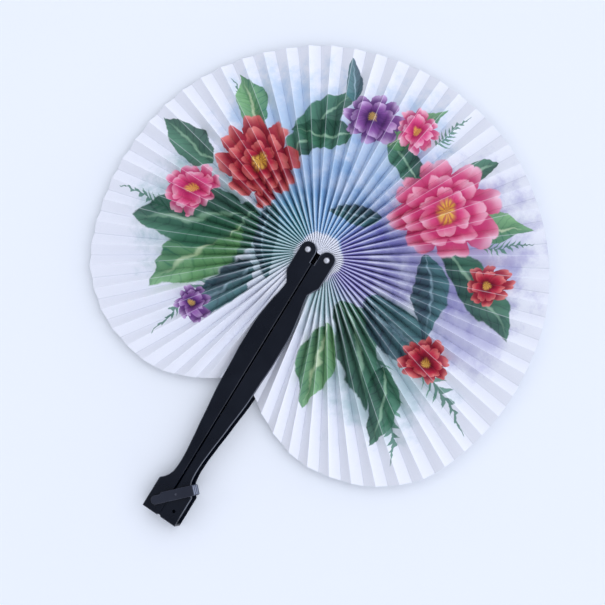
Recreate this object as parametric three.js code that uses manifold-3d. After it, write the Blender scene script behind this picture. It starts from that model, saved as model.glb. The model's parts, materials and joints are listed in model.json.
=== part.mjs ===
// Folding fan: a round pleated paper leaf held in the two halves of a folding plastic handle.
// Millimetres. The fan lies open and flat: +Z is up, the handle points to -Y, its right half is on +X.

import * as THREE from 'three';
import { mergeVertices } from 'three/addons/utils/BufferGeometryUtils.js';
import Module from 'manifold-3d';

const wasm = await Module();
wasm.setup();

// Fit
const GAP = 0.3;
const FINE_GAP = 0.2;
const CURVE_SEGMENTS = 32;
const CUT_PAST = 20;
const OVERLAP = 0.01;

// Handle: each half is a channel, open on its outer side
const HANDLE_HEIGHT = 10.3;
const WALL = 1.1;
const EDGE_BEVEL = 0.4;
const HANDLE_END = 166.2;
const BLOCK_START = 148.2;
const BLOCK_X = 10.9;
const SEAM_GAP = 0.7;
const LIP_GAP = 0.2;
const LIP_START = 153;
const SEAM_NOTCH = 0.9;
const SLOT_X = 1.4;
const SLOT_END = 5.5;
const HEAD_RADIUS = 4.7;
const PIVOT_X = 6.1;
const OUTER_EDGE = [
  [PIVOT_X + HEAD_RADIUS, 0], [10.75, 15.3], [6.9, 21.5], [8.0, 28.6], [8.8, 31.9], [10.7, 44.8],
  [10.9, 54.7], [10.9, 65.6], [10.4, 74.5], [10.05, 84.4], [9.55, 91.3], [8.95, 97.2], [8.15, 104.1],
  [7.55, 110.5], [6.75, 116.9], [6.05, 123.7], [5.55, 129.6], [5.45, 136.4], [6.15, 141.8], [8.1, 145.5],
  [BLOCK_X, BLOCK_START],
];
const CURVED_EDGE_START = 2;
const EDGE_SAMPLES = 44;

// Rivets and the link that joins them
const SHANK_RADIUS = 1.2;
const PIVOT_HOLE_RADIUS = 1.5;
const RIVET_HEAD_RADIUS = 1.85;
const RIVET_HEAD_HEIGHT = 0.95;
const TAIL_RADIUS = 2.0;
const TAIL_RECESS_RADIUS = 2.3;
const TAIL_RECESS_DEPTH = 0.7;
const LINK_HALF_WIDTH = 2.2;
const LINK_THICKNESS = 1.0;

// Latch arm, shown half turned as it lies between shut and free
const LATCH_Y = -159.5;
const LATCH_ANGLE = 45;
const LATCH_WIDTH = 5.8;
const LATCH_LENGTH = 25.2;
const LATCH_STEP_AT = 3.1;
const LATCH_STEP = 0.9;
const LATCH_THICKNESS = 1.1;
const LATCH_LIFT = 0.35;
const LATCH_BEVEL = 0.2;
const LATCH_HOLE_RADIUS = 1.05;
const STUD_RADIUS = 0.75;
const STUD_FLANGE_RADIUS = 1.4;
const STUD_FLANGE_HEIGHT = 0.9;
const NUB_RADIUS = 0.9;
const NUB_DROP = 0.18;
const RIB_COUNT = 3;
const RIB_PITCH = 0.95;
const RIB_END_MARGIN = 0.55;
const RIB_SIDE_MARGIN = 0.45;
const RIB_WIDTH = 0.55;
const RIB_HEIGHT = 0.45;
const ROOT_DEPTH = 0.3;
const DIMPLE_DEPTH = 0.3;
const CORNER_RADIUS = 0.8;

// Leaf: straight folds that fan out from between the rivets to a heart-shaped rim
const FOLD_STEPS_PER_SIDE = 60;
const STEPS_PER_GORE = 4;
const PANEL_WIDTH = 6.85;
const PAPER = 0.16;
const PAPER_RISE_LIMIT = 0.35;
const STATIONS = [0, 0.08, 0.22, 0.4, 0.6, 0.8, 0.92, 1];
const LEAF_RADIUS = 115.6;
const RIM = [
  [2, 0.675], [6, 0.722], [15, 0.83], [25, 0.952], [35, 1.034], [46, 1.107], [60, 1.146], [80, 1.12],
  [100, 1.094], [117, 1.07], [135, 1.038], [155, 1.0155], [180, 1],
];
const GATHER_X = 9.4;
const GATHER_Y = 3.4;
const GATHER_ROUNDNESS = 2.6;
const GATHER_DEPTH = 14;
const TAB_X = 1.55;
const TAB_THICKNESS = 0.17;
const TAB_HEIGHT = 6.6;

const MID_Z = HANDLE_HEIGHT / 2;
const CENTRE_SHIFT = (HANDLE_END - LEAF_RADIUS) / 2;

function solid(geometry) {
  geometry.deleteAttribute('normal');
  geometry.deleteAttribute('uv');
  const welded = mergeVertices(geometry, 1e-5);
  return new wasm.Manifold(new wasm.Mesh({
    numProp: 3,
    vertProperties: new Float32Array(welded.attributes.position.array),
    triVerts: new Uint32Array(welded.index.array),
  }));
}

function box(x0, x1, y0, y1, z0, z1) {
  const shape = new THREE.BoxGeometry(x1 - x0, y1 - y0, z1 - z0);
  shape.translate((x0 + x1) / 2, (y0 + y1) / 2, (z0 + z1) / 2);
  return solid(shape);
}

function cylinder(x, y, radius, z0, z1) {
  const shape = new THREE.CylinderGeometry(radius, radius, z1 - z0, CURVE_SEGMENTS);
  shape.rotateX(Math.PI / 2);
  shape.translate(x, y, (z0 + z1) / 2);
  return solid(shape);
}

function plate(points, z0, z1, bevel) {
  const shape = new THREE.ExtrudeGeometry(new THREE.Shape(points), {
    depth: z1 - z0 - 2 * bevel,
    bevelEnabled: bevel > 0,
    bevelThickness: bevel,
    bevelSize: bevel,
    bevelOffset: -bevel,
    bevelSegments: 1,
    steps: 1,
  });
  shape.translate(0, 0, z0 + bevel);
  return solid(shape);
}

function lathe(profile, x, y) {
  const shape = new THREE.LatheGeometry(profile.map(([r, z]) => new THREE.Vector2(r, z)), CURVE_SEGMENTS);
  shape.rotateX(Math.PI / 2);
  shape.translate(x, y, 0);
  return solid(shape);
}

function arc(cx, cy, radius, from, to, count) {
  return Array.from({ length: count + 1 }, (_, i) => {
    const angle = THREE.MathUtils.degToRad(from + (to - from) * i / count);
    return new THREE.Vector2(cx + radius * Math.cos(angle), cy + radius * Math.sin(angle));
  });
}

function handleOutline() {
  const straight = OUTER_EDGE.slice(0, CURVED_EDGE_START);
  const knots = OUTER_EDGE.slice(CURVED_EDGE_START);
  const curve = new THREE.SplineCurve(knots.map(([x, down]) => new THREE.Vector2(x, -down)));
  const outer = [...straight.slice(1).map(([x, down]) => new THREE.Vector2(x, -down)),
    ...curve.getSpacedPoints(EDGE_SAMPLES)];
  return [
    new THREE.Vector2(SEAM_GAP / 2 + SEAM_NOTCH, -HANDLE_END),
    new THREE.Vector2(SEAM_GAP / 2, -HANDLE_END + SEAM_NOTCH),
    new THREE.Vector2(SEAM_GAP / 2, -SLOT_END),
    new THREE.Vector2(SLOT_X, -SLOT_END),
    ...arc(PIVOT_X, 0, HEAD_RADIUS, 180, 0, 20),
    ...outer,
    new THREE.Vector2(BLOCK_X, -HANDLE_END),
  ].reverse();
}

// The right half; the left half is its mirror image. Below the latch its lip nearly closes the seam
function handleHalf() {
  const top = HANDLE_HEIGHT - WALL;
  const inner = SEAM_GAP / 2 + WALL;
  const hollows = [
    box(inner, BLOCK_X + CUT_PAST, -HANDLE_END + WALL, -SLOT_END, WALL, top),
    box(-CUT_PAST, BLOCK_X + CUT_PAST, -SLOT_END - OVERLAP, CUT_PAST, WALL, top),
    cylinder(PIVOT_X, 0, PIVOT_HOLE_RADIUS, -CUT_PAST, HANDLE_HEIGHT + CUT_PAST),
    cylinder(PIVOT_X, 0, TAIL_RECESS_RADIUS, -CUT_PAST, TAIL_RECESS_DEPTH),
    cylinder(PIVOT_X, LATCH_Y, LATCH_HOLE_RADIUS, -CUT_PAST, HANDLE_HEIGHT + CUT_PAST),
  ];
  const lip = box(LIP_GAP / 2, inner, -HANDLE_END + SEAM_NOTCH, -LIP_START, 0, HANDLE_HEIGHT);
  const blank = plate(handleOutline(), 0, HANDLE_HEIGHT, EDGE_BEVEL).add(lip);
  return hollows.reduce((body, hollow) => body.subtract(hollow), blank);
}

function rivet(x) {
  const seat = HANDLE_HEIGHT + FINE_GAP;
  const dome = Array.from({ length: 7 }, (_, i) => {
    const angle = Math.PI / 2 * i / 6;
    return [RIVET_HEAD_RADIUS * Math.cos(angle), seat + 0.2 + (RIVET_HEAD_HEIGHT - 0.2) * Math.sin(angle)];
  });
  dome[6][0] = 0;
  return lathe([
    [0, 0.05], [TAIL_RADIUS, 0.05], [TAIL_RADIUS, TAIL_RECESS_DEPTH - FINE_GAP],
    [SHANK_RADIUS, TAIL_RECESS_DEPTH - FINE_GAP], [SHANK_RADIUS, seat], [RIVET_HEAD_RADIUS, seat], ...dome,
  ], x, 0);
}

function pivotLink() {
  const z0 = WALL + GAP;
  const outline = [
    ...arc(PIVOT_X, 0, LINK_HALF_WIDTH, -90, 90, 12),
    ...arc(-PIVOT_X, 0, LINK_HALF_WIDTH, 90, 270, 12),
  ];
  return [-PIVOT_X, PIVOT_X].reduce(
    (body, x) => body.subtract(cylinder(x, 0, PIVOT_HOLE_RADIUS, 0, HANDLE_HEIGHT)),
    plate(outline, z0, z0 + LINK_THICKNESS, 0));
}

// Drawn along +X with its stud at the origin, then turned and set on the left half's block
function latchArm() {
  const z0 = HANDLE_HEIGHT + LATCH_LIFT;
  const z1 = z0 + LATCH_THICKNESS;
  const half = LATCH_WIDTH / 2;
  const outline = [
    new THREE.Vector2(LATCH_STEP_AT + LATCH_STEP, half),
    new THREE.Vector2(LATCH_STEP_AT, half - LATCH_STEP),
    ...arc(0, -LATCH_STEP / 2, half - LATCH_STEP / 2, 90, 270, 16),
    ...arc(LATCH_LENGTH - CORNER_RADIUS, -half + CORNER_RADIUS, CORNER_RADIUS, -90, 0, 3),
    ...arc(LATCH_LENGTH - CORNER_RADIUS, half - CORNER_RADIUS, CORNER_RADIUS, 0, 90, 3),
  ];
  const plateUnderside = HANDLE_HEIGHT - WALL;
  const flangeTop = plateUnderside - FINE_GAP;
  const nubX = 2 * PIVOT_X;
  const nub = new THREE.SphereGeometry(NUB_RADIUS, 16, 12);
  nub.translate(nubX, 0, z0 + NUB_RADIUS - NUB_DROP);
  const dimple = new THREE.SphereGeometry(NUB_RADIUS, 16, 12);
  dimple.translate(nubX, 0, z1 + NUB_RADIUS - DIMPLE_DEPTH);
  const ribReach = half - RIB_SIDE_MARGIN;
  const ribs = Array.from({ length: RIB_COUNT }, (_, i) => {
    const x = LATCH_LENGTH - RIB_END_MARGIN - i * RIB_PITCH;
    return box(x - RIB_WIDTH / 2, x + RIB_WIDTH / 2, -ribReach, ribReach, z1 - ROOT_DEPTH, z1 + RIB_HEIGHT);
  });
  const additions = [
    cylinder(0, 0, STUD_RADIUS, flangeTop - STUD_FLANGE_HEIGHT / 2, z0 + ROOT_DEPTH),
    cylinder(0, 0, STUD_FLANGE_RADIUS, flangeTop - STUD_FLANGE_HEIGHT, flangeTop),
    ...ribs,
  ];
  const arm = additions.reduce((body, piece) => body.add(piece), plate(outline, z0, z1, LATCH_BEVEL));
  const nubTip = solid(nub).intersect(box(0, LATCH_LENGTH, -half, half, z0 - NUB_RADIUS, z0 + ROOT_DEPTH));
  return arm.subtract(solid(dimple)).add(nubTip)
    .rotate([0, 0, LATCH_ANGLE]).translate([-PIVOT_X, LATCH_Y, 0]);
}

// Plan of one fold on the right side: where it starts near the rivets and where it meets the rim
function planFolds() {
  const knots = RIM.map(([bearing, share]) => {
    const angle = THREE.MathUtils.degToRad(bearing);
    const radius = share * LEAF_RADIUS;
    return new THREE.Vector2(radius * Math.sin(angle), -radius * Math.cos(angle));
  });
  const mirrored = knots.slice(0, -1).reverse().map((p) => new THREE.Vector2(-p.x, p.y));
  const rim = new THREE.SplineCurve([...knots, ...mirrored]);
  rim.arcLengthDivisions = 2000;
  const folds = [];
  for (let i = 0; i <= FOLD_STEPS_PER_SIDE; i += 1) {
    const outer = rim.getPointAt(i / (2 * FOLD_STEPS_PER_SIDE));
    const centre = new THREE.Vector2(PIVOT_X * (1 - i / FOLD_STEPS_PER_SIDE), 0);
    folds.push({ inner: gatherPoint(centre, outer), outer });
  }
  folds[FOLD_STEPS_PER_SIDE].outer.set(0, LEAF_RADIUS);
  const wallX = TAB_X + TAB_THICKNESS / 2;
  folds[0].outer.x = wallX;
  for (let i = 0; i < STEPS_PER_GORE; i += 1) {
    const share = i / STEPS_PER_GORE;
    folds[i].inner.x = THREE.MathUtils.lerp(wallX, folds[STEPS_PER_GORE].inner.x, share);
  }
  return folds;
}

// Walks from the fold's centre towards the rim until it leaves the rounded space kept for the link
function gatherPoint(centre, outer) {
  const way = outer.clone().sub(centre).normalize();
  const isInside = (p) => {
    const lower = p.y < 0;
    const side = Math.abs(p.x / GATHER_X) ** GATHER_ROUNDNESS;
    const rise = Math.abs(p.y / GATHER_Y) ** GATHER_ROUNDNESS;
    return lower ? p.x < GATHER_X && p.y > -GATHER_DEPTH : side + rise < 1;
  };
  let near = 0;
  let far = 40;
  for (let step = 0; step < 40; step += 1) {
    const middle = (near + far) / 2;
    if (isInside(centre.clone().addScaledVector(way, middle))) {
      near = middle;
    } else {
      far = middle;
    }
  }
  return centre.clone().addScaledVector(way, near);
}

// All folds from the right end of the leaf round to its left end
function allFolds() {
  const right = planFolds();
  const left = right.slice(0, -1).reverse().map(({ inner, outer }) => ({
    inner: new THREE.Vector2(-inner.x, inner.y),
    outer: new THREE.Vector2(-outer.x, outer.y),
  }));
  return [...right, ...left];
}

function foldPoint(fold, station) {
  return fold.inner.clone().lerp(fold.outer, station);
}

function gore(folds, first) {
  const last = first + STEPS_PER_GORE;
  const rows = STATIONS.length;
  const upper = [];
  const lower = [];
  for (let i = first; i <= last; i += 1) {
    for (const station of STATIONS) {
      const here = foldPoint(folds[i], station);
      const before = foldPoint(folds[Math.max(i - 1, 0)], station);
      const after = foldPoint(folds[Math.min(i + 1, folds.length - 1)], station);
      const spans = i === 0 || i === folds.length - 1 ? 1 : 2;
      const run = Math.min(before.distanceTo(after) / spans, PANEL_WIDTH * 0.99);
      const rise = Math.sqrt(PANEL_WIDTH ** 2 - run ** 2) / 2;
      const half = Math.min(PAPER * PANEL_WIDTH / run / 2, PAPER_RISE_LIMIT);
      const isEnd = i === 0 || i === folds.length - 1;
      const inward = i === first ? after.clone().sub(here) : here.clone().sub(before).negate();
      const pull = (i === first || i === last) && !isEnd ? GAP / 2 : 0;
      here.addScaledVector(inward.normalize(), pull);
      const z = MID_Z + (i % 2 === 0 ? -rise : rise);
      upper.push(here.x, here.y, z + half);
      lower.push(here.x, here.y, z - half);
    }
  }
  const count = upper.length / 3;
  const columns = STEPS_PER_GORE + 1;
  const faces = [];
  const quad = (a, b, c, d) => faces.push(a, b, c, a, c, d);
  for (let i = 0; i < columns - 1; i += 1) {
    for (let j = 0; j < rows - 1; j += 1) {
      const a = i * rows + j;
      quad(a, a + 1, a + rows + 1, a + rows);
      quad(count + a, count + a + rows, count + a + rows + 1, count + a + 1);
    }
    quad(i * rows, (i + 1) * rows, count + (i + 1) * rows, count + i * rows);
    quad((i + 1) * rows - 1, count + (i + 1) * rows - 1, count + (i + 2) * rows - 1, (i + 2) * rows - 1);
  }
  for (let j = 0; j < rows - 1; j += 1) {
    const end = (columns - 1) * rows + j;
    quad(j, count + j, count + j + 1, j + 1);
    quad(end, end + 1, count + end + 1, count + end);
  }
  const shape = new THREE.BufferGeometry();
  shape.setAttribute('position', new THREE.Float32BufferAttribute([...upper, ...lower], 3));
  shape.setIndex(faces);
  return solid(shape);
}

// The flap at each end of the leaf that is glued to the channel's wall
function glueTab(rimY, side) {
  const xs = [side * TAB_X, side * (TAB_X + TAB_THICKNESS)].sort((a, b) => a - b);
  return box(xs[0], xs[1], rimY + 0.5, -GATHER_DEPTH - 1, MID_Z - TAB_HEIGHT / 2, MID_Z + TAB_HEIGHT / 2);
}

function leafGores() {
  const folds = allFolds();
  const total = 2 * FOLD_STEPS_PER_SIDE / STEPS_PER_GORE;
  return Array.from({ length: total }, (_, k) => {
    const body = gore(folds, k * STEPS_PER_GORE);
    if (k === 0) {
      return body.add(glueTab(folds[0].outer.y, 1));
    }
    if (k === total - 1) {
      return body.add(glueTab(folds[0].outer.y, -1));
    }
    return body;
  });
}

const PLASTIC = { color: 0x17181c, roughness: 0.4 };
const LATCH_PLASTIC = { color: 0x2a2b30, roughness: 0.45 };
const STEEL = { color: 0xb9bcc2, roughness: 0.35, metalness: 0.9 };
const LEAF_PAPER = { color: 0xeef0fa, roughness: 0.85 };

const fan = new THREE.Group();
fan.name = 'folding_fan';

function place(name, body, look) {
  const mesh = body.translate([0, CENTRE_SHIFT, 0]).getMesh();
  const shape = new THREE.BufferGeometry();
  shape.setAttribute('position', new THREE.Float32BufferAttribute(mesh.vertProperties, 3));
  shape.setIndex(new THREE.Uint32BufferAttribute(mesh.triVerts, 1));
  shape.computeVertexNormals();
  const piece = new THREE.Mesh(shape, new THREE.MeshStandardMaterial(look));
  piece.name = name;
  fan.add(piece);
}

const half = handleHalf();
place('handle_right', half, PLASTIC);
place('handle_left', half.mirror([1, 0, 0]), PLASTIC);
place('rivet_right', rivet(PIVOT_X), STEEL);
place('rivet_left', rivet(-PIVOT_X), STEEL);
place('pivot_link', pivotLink(), PLASTIC);
place('latch_arm', latchArm(), LATCH_PLASTIC);
leafGores().forEach((body, k) => place(`leaf_gore_${String(k + 1).padStart(2, '0')}`, body, LEAF_PAPER));

export default fan;
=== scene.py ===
# %% [markdown]
# # A pleated paper folding fan
# The fan is a strip of printed paper, folded into 120 narrow panels and held
# between two slim black plastic halves. Each half turns on its own rivet, so
# the leaf opens into a rosette and closes into the halves, which then meet as
# a flat case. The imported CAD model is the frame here: it gives the sizes, the
# bodies and the joints, and every piece made below rides on one of its bodies.

# %% Load the frame
import json
import math
import random

import bmesh
import bpy
from mathutils import Matrix, Vector

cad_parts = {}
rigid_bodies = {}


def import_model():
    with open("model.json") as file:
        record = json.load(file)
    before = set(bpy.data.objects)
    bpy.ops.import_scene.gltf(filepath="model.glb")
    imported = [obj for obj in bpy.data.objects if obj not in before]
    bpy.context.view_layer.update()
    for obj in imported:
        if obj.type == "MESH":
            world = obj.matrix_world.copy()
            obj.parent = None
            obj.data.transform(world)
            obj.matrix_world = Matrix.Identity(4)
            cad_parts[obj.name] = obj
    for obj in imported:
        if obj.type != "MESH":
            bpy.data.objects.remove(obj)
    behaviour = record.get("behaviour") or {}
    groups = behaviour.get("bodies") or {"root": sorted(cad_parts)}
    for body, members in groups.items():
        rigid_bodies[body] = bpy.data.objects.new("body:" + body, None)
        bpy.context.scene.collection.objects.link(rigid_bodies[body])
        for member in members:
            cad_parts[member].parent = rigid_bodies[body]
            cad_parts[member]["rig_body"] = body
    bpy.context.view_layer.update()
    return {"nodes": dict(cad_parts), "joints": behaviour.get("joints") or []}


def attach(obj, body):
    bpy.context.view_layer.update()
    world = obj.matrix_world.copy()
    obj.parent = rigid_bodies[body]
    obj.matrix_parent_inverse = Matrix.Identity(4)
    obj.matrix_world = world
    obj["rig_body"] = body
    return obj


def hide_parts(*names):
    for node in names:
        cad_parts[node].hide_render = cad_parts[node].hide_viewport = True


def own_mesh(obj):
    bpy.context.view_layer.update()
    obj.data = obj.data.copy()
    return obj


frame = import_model()
MM = 0.001

# %% [markdown]
# ## Camera
# The fan lies on a table and is seen from above, a little from its right side.
# The rivets, the corners of the handle and the outline of the leaf fix the
# view. The three angles turn the fan in front of a camera that looks straight
# down, so the camera itself gets the inverse of that turn.

# %% Camera
RIVETS_MIDDLE = Vector((0, 25.3, 0)) * MM
VIEW_TILT = (-6.196, -11.996, -32.199)
CAMERA_DISTANCE = 700
VIEW_OFFSET = Vector((10.212, 24.629, -CAMERA_DISTANCE)) * MM
MM_PER_PIXEL = 0.55
IMAGE_WIDTH = 605
SENSOR_WIDTH = 36
NEAREST_SEEN = 0.01

turned = Matrix.Identity(3)
for angle, axis in zip(VIEW_TILT, "XYZ"):
    turned = turned @ Matrix.Rotation(math.radians(angle), 3, axis)
facing = turned.transposed()
camera_data = bpy.data.cameras.new("camera")
camera_data.sensor_width = SENSOR_WIDTH
camera_data.lens = SENSOR_WIDTH * (CAMERA_DISTANCE / MM_PER_PIXEL) / IMAGE_WIDTH
camera_data.clip_start = NEAREST_SEEN
camera = bpy.data.objects.new("camera", camera_data)
camera.matrix_world = Matrix.Translation(RIVETS_MIDDLE - facing @ VIEW_OFFSET) @ facing.to_4x4()
bpy.context.scene.collection.objects.link(camera)
bpy.context.scene.camera = camera
print("camera at", [round(v, 4) for v in camera.matrix_world.translation])
print("lens", round(camera_data.lens, 1))

# %% [markdown]
# ## Wires
# A material or a Geometry Nodes tree is a net of small nodes. Written node by
# node it is hard to read, so one small class stands for a socket: arithmetic on
# it adds the Math nodes, and `node` adds any other node with its settings first
# and its sockets after. Colours are mixed with Mix nodes, because a Math node
# would turn them grey.


# %% A socket that understands arithmetic
class Wire:
    def __init__(self, tree, socket=None):
        self.tree = tree
        self.socket = socket

    def node(self, kind, settings=None, inputs=None, out=0):
        made = self.tree.nodes.new(kind)
        for name, value in (settings or {}).items():
            setattr(made, name, value)
        for name, value in (inputs or {}).items():
            if isinstance(value, Wire):
                self.tree.links.new(value.socket, made.inputs[name])
            else:
                made.inputs[name].default_value = value
        return Wire(self.tree, made.outputs[out])

    def maths(self, operation, *values):
        return self.node("ShaderNodeMath", {"operation": operation}, dict(enumerate(values)))

    def vector(self, operation, *values, out=0):
        return self.node("ShaderNodeVectorMath", {"operation": operation}, dict(enumerate(values)), out)

    def parts(self):
        split = self.node("ShaderNodeSeparateXYZ", inputs={0: self}).socket.node
        return [Wire(self.tree, socket) for socket in split.outputs]

    def mix(self, first, second, share, way="MIX"):
        settings = {"data_type": "RGBA", "blend_type": way}
        return self.node("ShaderNodeMix", settings, {0: share, 6: first, 7: second}, 2)

    def between(self, low, high):
        settings = {"interpolation_type": "SMOOTHSTEP", "clamp": False}
        return self.node("ShaderNodeMapRange", settings, {0: self, 1: low, 2: high})

    def __add__(self, other):
        return self.maths("ADD", self, other)

    def __sub__(self, other):
        return self.maths("SUBTRACT", self, other)

    def __rsub__(self, other):
        return self.maths("SUBTRACT", other, self)

    def __mul__(self, other):
        return self.maths("MULTIPLY", self, other)

    def __truediv__(self, other):
        return self.maths("DIVIDE", self, other)

    def __pow__(self, other):
        return self.maths("POWER", self, other)

    def __abs__(self):
        return self.maths("ABSOLUTE", self)

    __radd__ = __add__
    __rmul__ = __mul__


# %% A new material and its surface shader
def new_finish(name):
    material = bpy.data.materials.new(name)
    material.use_nodes = True
    surface = material.node_tree.nodes["Principled BSDF"]
    return material, Wire(material.node_tree), surface


def feed(wire, surface, socket):
    wire.tree.links.new(wire.socket, surface.inputs[socket])


def colour(red, green, blue):
    """A colour as it looks on a screen, 0 to 255, in the linear values that a shader takes."""
    steps = [value / 255 for value in (red, green, blue)]
    return tuple(v / 12.92 if v <= 0.04045 else ((v + 0.055) / 1.055) ** 2.4 for v in steps) + (1,)


print("wires ready")

# %% [markdown]
# ## Table and light
# The fan lies on a pale, slightly blue table. The room is brightest overhead and
# towards a window on the right, so every fold has a lit and a shaded panel and
# soft shadows fall to the left. One patch of the ceiling is dark: the one that
# the flat tops of the handle mirror to the camera, which keeps them black. The
# bright foot of the walls draws a line along their edges. Two lamps add to that,
# and the stronger one stands by the window.

# %% Table, room and lamps
TABLE_REACH = 8
TABLE_DROP = 0.1
EVERYWHERE = 0.15
OVERHEAD = 1.5
WALLS = 1.8
WALL_FOOT = 0.30
WINDOW = (0.54, 0.34)
DARK_PATCH = (0.965, 0.86)
ROOM_TINT = (0.87, 0.90, 1.0, 1)
LAMP_TINT = (0.93, 0.96, 1.0)
HANDLE_MIDDLE = Vector((0, -40, 10)) * MM

scene = bpy.context.scene
scene.view_settings.view_transform = "Standard"

table_mesh = bpy.data.meshes.new("table")
corners = [(-1, -1), (1, -1), (1, 1), (-1, 1)]
table_points = [(x * TABLE_REACH, y * TABLE_REACH, 0) for x, y in corners]
table_mesh.from_pydata(table_points, [], [(0, 1, 2, 3)])
table = bpy.data.objects.new("table", table_mesh)
table.location.z = -TABLE_DROP * MM
scene.collection.objects.link(table)

table_finish, t, surface = new_finish("pale_table")
mottle = t.node("ShaderNodeTexNoise", inputs={
    "Vector": t.node("ShaderNodeTexCoord", out=3), "Scale": 6.0, "Detail": 2.0})
feed(t.mix(colour(243, 248, 254), colour(246, 250, 255), mottle), surface, "Base Color")
surface.inputs["Roughness"].default_value = 0.8
surface.inputs["Specular IOR Level"].default_value = 0.1
table_mesh.materials.append(table_finish)

world = bpy.data.worlds.new("studio")
world.use_nodes = True
room = Wire(world.node_tree)
x, y, height = room.node("ShaderNodeTexCoord").parts()
background = world.node_tree.nodes["Background"]
background.inputs["Color"].default_value = ROOM_TINT
to_camera = (camera.matrix_world.translation - HANDLE_MIDDLE).normalized()
mirrored = height * to_camera.z - x * to_camera.x - y * to_camera.y
to_window = 1 + x * WINDOW[0] + y * WINDOW[1]
lit = height.maths("MAXIMUM", height, 0.0) * mirrored.between(*DARK_PATCH) * OVERHEAD
lit = lit + height.between(WALL_FOOT, 0.0) * WALLS
feed(EVERYWHERE + lit * to_window, background, "Strength")
scene.world = world

LAMPS = {
    "lamp_right": {"at": (1.76, 1.43, 1.60), "size": 1.00, "power": 4.0},
    "lamp_left": {"at": (-2.1, -0.9, 1.5), "size": 0.60, "power": 2.0},
}
for name, lamp in LAMPS.items():
    data = bpy.data.lights.new(name, "AREA")
    data.shape = "DISK"
    data.size = lamp["size"]
    data.energy = lamp["power"]
    data.color = LAMP_TINT
    light = bpy.data.objects.new(name, data)
    light.location = lamp["at"]
    light.rotation_euler = (RIVETS_MIDDLE - light.location).to_track_quat("-Z", "Y").to_euler()
    scene.collection.objects.link(light)
print("lamps:", ", ".join(LAMPS))

# %% [markdown]
# ## The fold plan
# Seen from above, every fold of the leaf is a straight line from the gather at
# the rivets out to the rim. The rim is a rounded heart: close in beside the
# handle, far out at its two lobes and a little nearer at the top. The folds are
# spaced evenly along it. The plan is kept as a small mesh that the Geometry
# Nodes tree below looks up by number: points 0 to 120 are the inner ends and
# 121 to 241 the outer ends. Each point also holds half the distance between its
# two neighbours, which says how far that fold has been pulled open, and the
# slight lift and bow that paper folded by hand has.

# %% Rim of the leaf
LEAF_RADIUS = 115.6
PIVOT_X = 6.1
RIM = [
    (2, 0.675), (6, 0.722), (15, 0.83), (25, 0.952), (35, 1.034), (46, 1.107), (60, 1.146),
    (80, 1.12), (100, 1.094), (117, 1.07), (135, 1.038), (155, 1.0155), (180, 1),
]
RIM_SAMPLES = 2400
SIDE_FOLDS = 60
LAST_FOLD = 2 * SIDE_FOLDS


def rim_knots():
    right = []
    for bearing, share in RIM:
        turn = math.radians(bearing)
        right.append(Vector((math.sin(turn), -math.cos(turn))) * share * LEAF_RADIUS)
    left = [Vector((-knot.x, knot.y)) for knot in reversed(right[:-1])]
    return right + left


def on_spline(knots, share):
    """A point of the smooth curve through the knots."""
    along = share * (len(knots) - 1)
    first = min(int(along), len(knots) - 2)
    t = along - first
    a, b, c, d = (knots[min(max(first + k, 0), len(knots) - 1)] for k in (-1, 0, 1, 2))
    start, end = (c - a) / 2, (d - b) / 2
    squared = 3 * (c - b) - 2 * start - end
    cubed = 2 * (b - c) + start + end
    return b + start * t + squared * t**2 + cubed * t**3


def evenly_spaced(knots, count):
    samples = [on_spline(knots, k / RIM_SAMPLES) for k in range(RIM_SAMPLES + 1)]
    walked = [0.0]
    for one, two in zip(samples, samples[1:]):
        walked.append(walked[-1] + (two - one).length)
    points = []
    here = 0
    for k in range(count + 1):
        target = walked[-1] * k / count
        while here < RIM_SAMPLES - 1 and walked[here + 1] < target:
            here += 1
        t = (target - walked[here]) / (walked[here + 1] - walked[here])
        points.append(samples[here].lerp(samples[here + 1], t))
    return points


rim = evenly_spaced(rim_knots(), LAST_FOLD)
pitch = (rim[SIDE_FOLDS] - rim[SIDE_FOLDS - 1]).length
print("rim points:", len(rim), "fold pitch at the rim, mm:", round(pitch, 2))

# %% Inner end of each fold
GATHER_X = 9.4
GATHER_Y = 3.4
GATHER_ROUNDNESS = 2.6
GATHER_DEPTH = 14
SLOT_X = (1.2, 2.6)
SLOT_Y = 1.0
CHANNEL_X = 1.635
FREE_FROM = 4
HALVINGS = 40


def inside_gather(point):
    if point.y < 0:
        return abs(point.x) < GATHER_X and point.y > -GATHER_DEPTH
    out = min(max((abs(point.x) - SLOT_X[0]) / (SLOT_X[1] - SLOT_X[0]), 0), 1)
    height = SLOT_Y + (GATHER_Y - SLOT_Y) * out
    return abs(point.x / GATHER_X) ** GATHER_ROUNDNESS + abs(point.y / height) ** GATHER_ROUNDNESS < 1


def leaves_gather(centre, outer):
    near, far = 0.0, 1.0
    for _ in range(HALVINGS):
        middle = (near + far) / 2
        if inside_gather(centre.lerp(outer, middle)):
            near = middle
        else:
            far = middle
    return centre.lerp(outer, far)


def fold_ends():
    outer = [point.copy() for point in rim[: SIDE_FOLDS + 1]]
    outer[0].x = CHANNEL_X
    outer[SIDE_FOLDS] = Vector((0, LEAF_RADIUS))
    inner = []
    for k, end in enumerate(outer):
        inner.append(leaves_gather(Vector((PIVOT_X * (1 - k / SIDE_FOLDS), 0)), end))
    for k in range(FREE_FROM):
        inner[k].x = CHANNEL_X + (inner[FREE_FROM].x - CHANNEL_X) * k / FREE_FROM
    for k in range(SIDE_FOLDS - 1, -1, -1):
        inner.append(Vector((-inner[k].x, inner[k].y)))
        outer.append(Vector((-outer[k].x, outer[k].y)))
    return inner, outer


inner_ends, outer_ends = fold_ends()
print("folds:", len(inner_ends))

# %% The plan as a mesh
HAND_FOLDED = random.Random(7)
SWAY = 0.35
RISE_CHANGE = 0.30
PANEL_BOW = 0.16


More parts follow.
